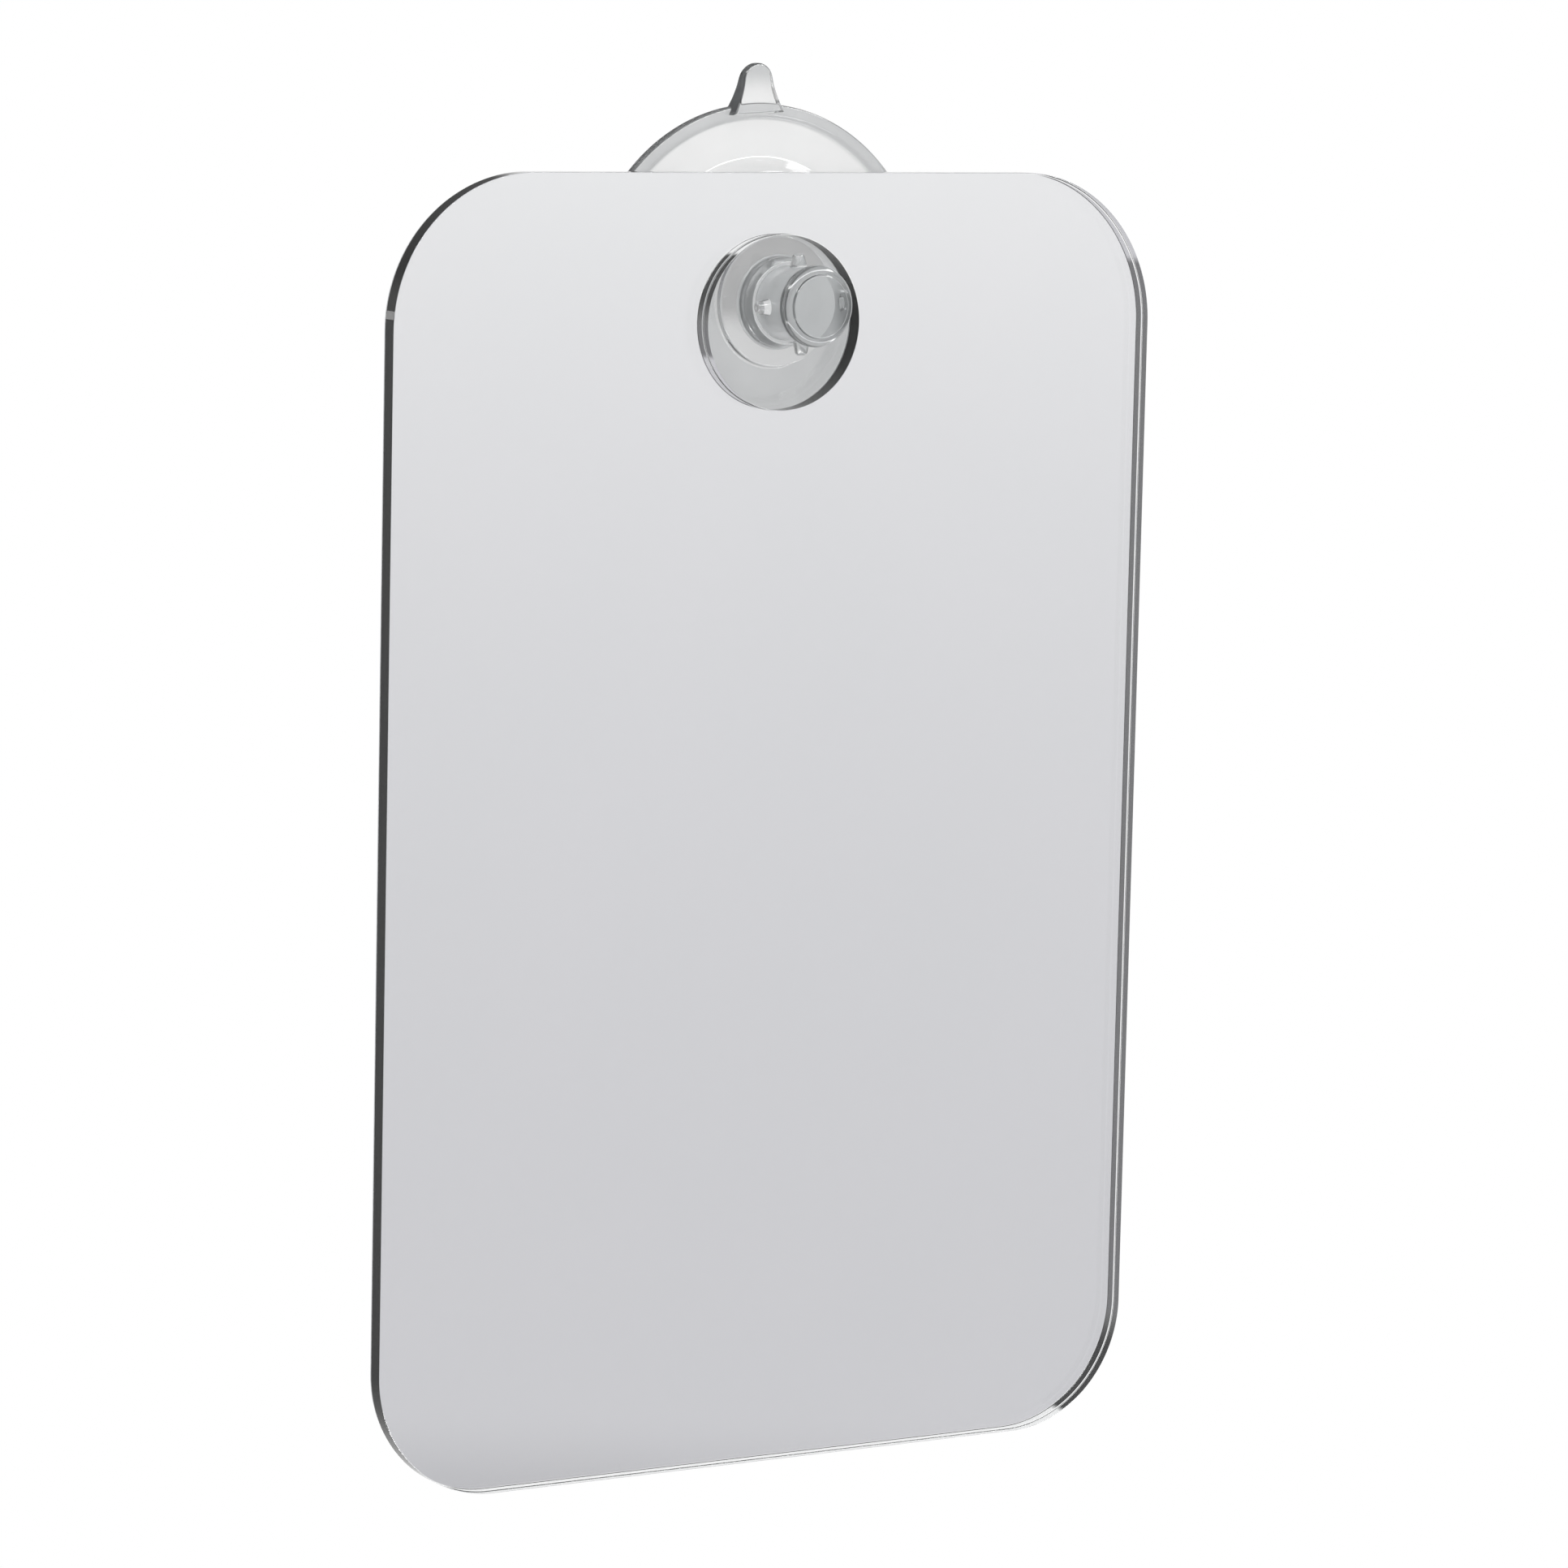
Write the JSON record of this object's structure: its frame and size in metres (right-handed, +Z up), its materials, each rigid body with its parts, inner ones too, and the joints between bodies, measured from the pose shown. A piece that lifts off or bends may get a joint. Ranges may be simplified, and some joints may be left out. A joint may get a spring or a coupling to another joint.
{
  "type": "fogless shower mirror",
  "caption": "Round-cornered mirrored acrylic panel that hangs by a hole near its top edge on the boss of a clear one-piece suction cup with a pull tab.",
  "frame": {"origin": "on the suction cup's axis, in the plane of the wall that the cup is pressed on", "axes": "+Z up along the panel's length, +Y into the wall along the cup's axis, the mirror faces -Y, +X to the right as seen from in front"},
  "size_m": [0.144, 0.0218, 0.2337],
  "materials": {
    "clear_vinyl": "clear soft vinyl, glossy",
    "clear_acrylic": "clear, polished face and edges",
    "silver_layer": "silvered",
    "grey_coat": "matt grey protective paint"
  },
  "bodies": {
    "cup": {"suction_cup": "clear_vinyl"},
    "mirror": {"acrylic_sheet": "clear_acrylic", "mirror_layer": "silver_layer", "backing_coat": "grey_coat"}
  },
  "joints": [
    {"name": "mirror_swing", "type": "hinge", "parent": "cup", "child": "mirror", "pos_m": [0, -0.01, -0.0033], "axis": [0, -1, 0], "continuous": true}
  ]
}
